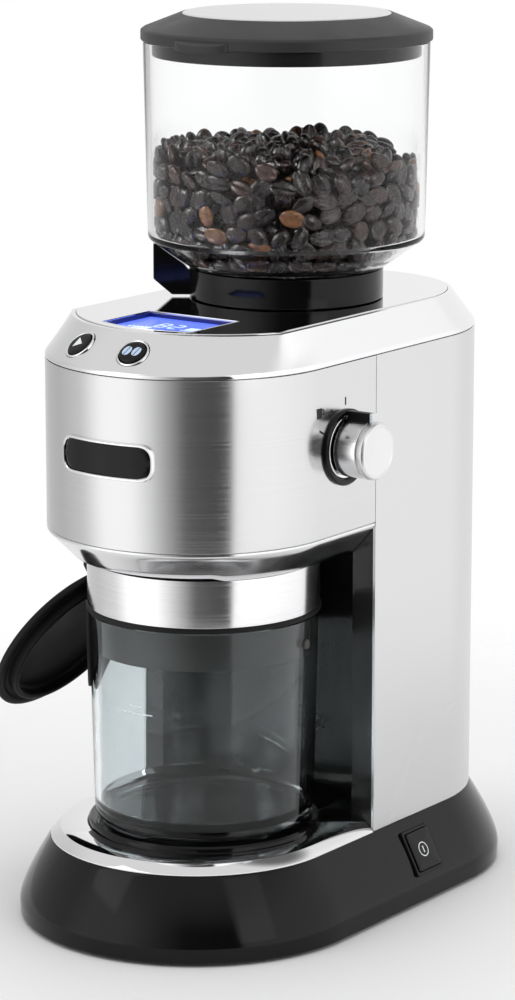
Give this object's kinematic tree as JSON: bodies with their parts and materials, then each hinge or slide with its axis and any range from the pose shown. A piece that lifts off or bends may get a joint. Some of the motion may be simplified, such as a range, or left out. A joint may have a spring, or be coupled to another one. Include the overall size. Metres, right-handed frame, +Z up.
{
  "type": "burr coffee grinder",
  "caption": "Electric burr coffee grinder: bean hopper with lift-off lid, grind ring with lever, display head, quantity knob, and a lidded container standing on a chrome tray.",
  "frame": {"origin": "on the surface the feet stand on, directly below the burr and hopper axis, at the middle foot", "axes": "+Z up along the burr axis, -Y towards the front (container and display), +X towards the quantity knob"},
  "size_m": [0.1823, 0.2554, 0.385],
  "materials": {
    "black_gloss_plastic": "gloss moulded",
    "black_plastic": "satin moulded",
    "collar_gloss": "polished moulded",
    "button_black": "satin gloss",
    "rubber": "matt rubber",
    "screw_steel": "zinc plated",
    "chrome": "polished",
    "brushed_steel": "vertical brushed grain, satin",
    "satin_steel": "fine satin",
    "knob_metal": "satin with a turned face",
    "circuit_board": "solder mask",
    "chassis_plastic": "moulded",
    "display_blue": "tinted clear",
    "lcd": "backlit",
    "badge_black": "enamel",
    "cast_alloy": "die cast",
    "motor_steel": "plated",
    "shaft_steel": "ground",
    "gear_nylon": "natural nylon",
    "bronze": "sintered",
    "burr_steel": "hardened, ground",
    "hopper_clear": "clear polished",
    "lid_grey": "fine matt",
    "lid_silver": "satin",
    "jar_smoke": "smoked, polished",
    "sleeve_grey": "satin"
  },
  "bodies": {
    "housing": {"base_shell": "black_gloss_plastic", "base_plate": "black_plastic", "rubber_feet": "rubber", "base_screws": "screw_steel", "tray_trim": "chrome", "cup_seat": "black_plastic", "switch_housing": "black_plastic", "cord_gland": "black_plastic", "power_board": "circuit_board", "column_cover": "satin_steel", "column_front": "black_plastic", "rear_spine": "chassis_plastic", "head_wrap": "brushed_steel", "lower_bezel": "chrome", "head_floor": "black_plastic", "top_bezel": "chrome", "top_deck": "chrome", "display_window": "display_blue", "lcd_panel": "lcd", "control_board": "circuit_board", "button_bezels": "chrome", "button_switches": "chassis_plastic", "badge_plate": "badge_black", "badge_frame": "chrome", "knob_ring": "black_plastic", "knob_encoder": "chassis_plastic", "gearbox_base": "cast_alloy", "gearbox_cover": "cast_alloy", "gearbox_screws": "screw_steel", "motor_can": "motor_steel", "motor_cap": "black_plastic", "idler_axle": "shaft_steel", "shaft_bushes": "bronze", "burr_chamber": "black_plastic", "grounds_chute": "black_plastic"},
    "power_button": {"power_button": "button_black"},
    "start_button": {"start_button": "button_black"},
    "type_button": {"type_button": "button_black"},
    "quantity_knob": {"quantity_knob": "knob_metal", "knob_shaft": "shaft_steel"},
    "grind_ring": {"grind_ring": "collar_gloss"},
    "burr_carrier": {"burr_carrier": "black_plastic", "outer_burr": "burr_steel"},
    "burr_spindle": {"burr_shaft": "shaft_steel", "burr_gear": "gear_nylon", "grounds_sweeper": "black_plastic", "inner_burr": "burr_steel", "burr_nut": "screw_steel"},
    "idler": {"idler_gear": "gear_nylon"},
    "motor_rotor": {"motor_rotor": "motor_steel", "motor_pinion": "shaft_steel"},
    "hopper": {"hopper": "hopper_clear"},
    "hopper_lid": {"hopper_lid": "lid_grey", "lid_disc": "lid_silver", "lid_gasket": "rubber"},
    "container": {"jar": "jar_smoke", "jar_ring": "chrome", "jar_sleeve": "sleeve_grey", "jar_gasket": "rubber"},
    "container_lid": {"rubber_lid": "rubber"}
  },
  "joints": [
    {"name": "power_press", "type": "slide", "parent": "housing", "child": "power_button", "axis": [-0.8829, 0, -0.4695], "range_m": [0, 0.0012], "stiffness_N_per_m": 800},
    {"name": "start_press", "type": "slide", "parent": "housing", "child": "start_button", "axis": [0.2201, 0.6046, -0.7655], "range_m": [0, 0.0012], "stiffness_N_per_m": 600},
    {"name": "type_press", "type": "slide", "parent": "housing", "child": "type_button", "axis": [-0.0791, 0.6179, -0.7823], "range_m": [0, 0.0012], "stiffness_N_per_m": 600},
    {"name": "quantity_turn", "type": "hinge", "parent": "housing", "child": "quantity_knob", "pos_m": [0.07, -0.047, 0.21], "axis": [1, 0, 0], "range_deg": [0, 63]},
    {"name": "grind_turn", "type": "hinge", "parent": "housing", "child": "grind_ring", "pos_m": [0, 0, 0.26], "axis": [0, 0, 1], "range_deg": [-25, 25]},
    {"name": "outer_burr_lift", "type": "slide", "parent": "housing", "child": "burr_carrier", "axis": [0, 0, 1], "range_m": [-0.0006, 0.0006]},
    {"name": "burr_spin", "type": "hinge", "parent": "housing", "child": "burr_spindle", "pos_m": [0, 0, 0.2], "axis": [0, 0, 1], "continuous": true},
    {"name": "idler_spin", "type": "hinge", "parent": "housing", "child": "idler", "pos_m": [0, 0.0375, 0.185], "axis": [0, 0, 1], "continuous": true},
    {"name": "motor_spin", "type": "hinge", "parent": "housing", "child": "motor_rotor", "pos_m": [0, 0.0675, 0.14], "axis": [0, 0, 1], "continuous": true},
    {"name": "hopper_lift", "type": "slide", "parent": "housing", "child": "hopper", "axis": [0, 0, 1], "range_m": [0, 0.09]},
    {"name": "lid_lift", "type": "slide", "parent": "hopper", "child": "hopper_lid", "axis": [0, 0, 1], "range_m": [0, 0.06]},
    {"name": "container_slide", "type": "slide", "parent": "housing", "child": "container", "axis": [0, -1, 0], "range_m": [0, 0.13]},
    {"name": "container_lid_turn", "type": "hinge", "parent": "container", "child": "container_lid", "pos_m": [-0.05397, -0.05912, 0.147], "axis": [0.0349, 0.9994, 0], "range_deg": [0, 100]}
  ],
  "couplings": [
    {"joint": "outer_burr_lift", "follows": "grind_turn", "m_per_rad": 0.00137},
    {"joint": "idler_spin", "follows": "burr_spin", "ratio": -4},
    {"joint": "motor_spin", "follows": "burr_spin", "ratio": 16}
  ]
}
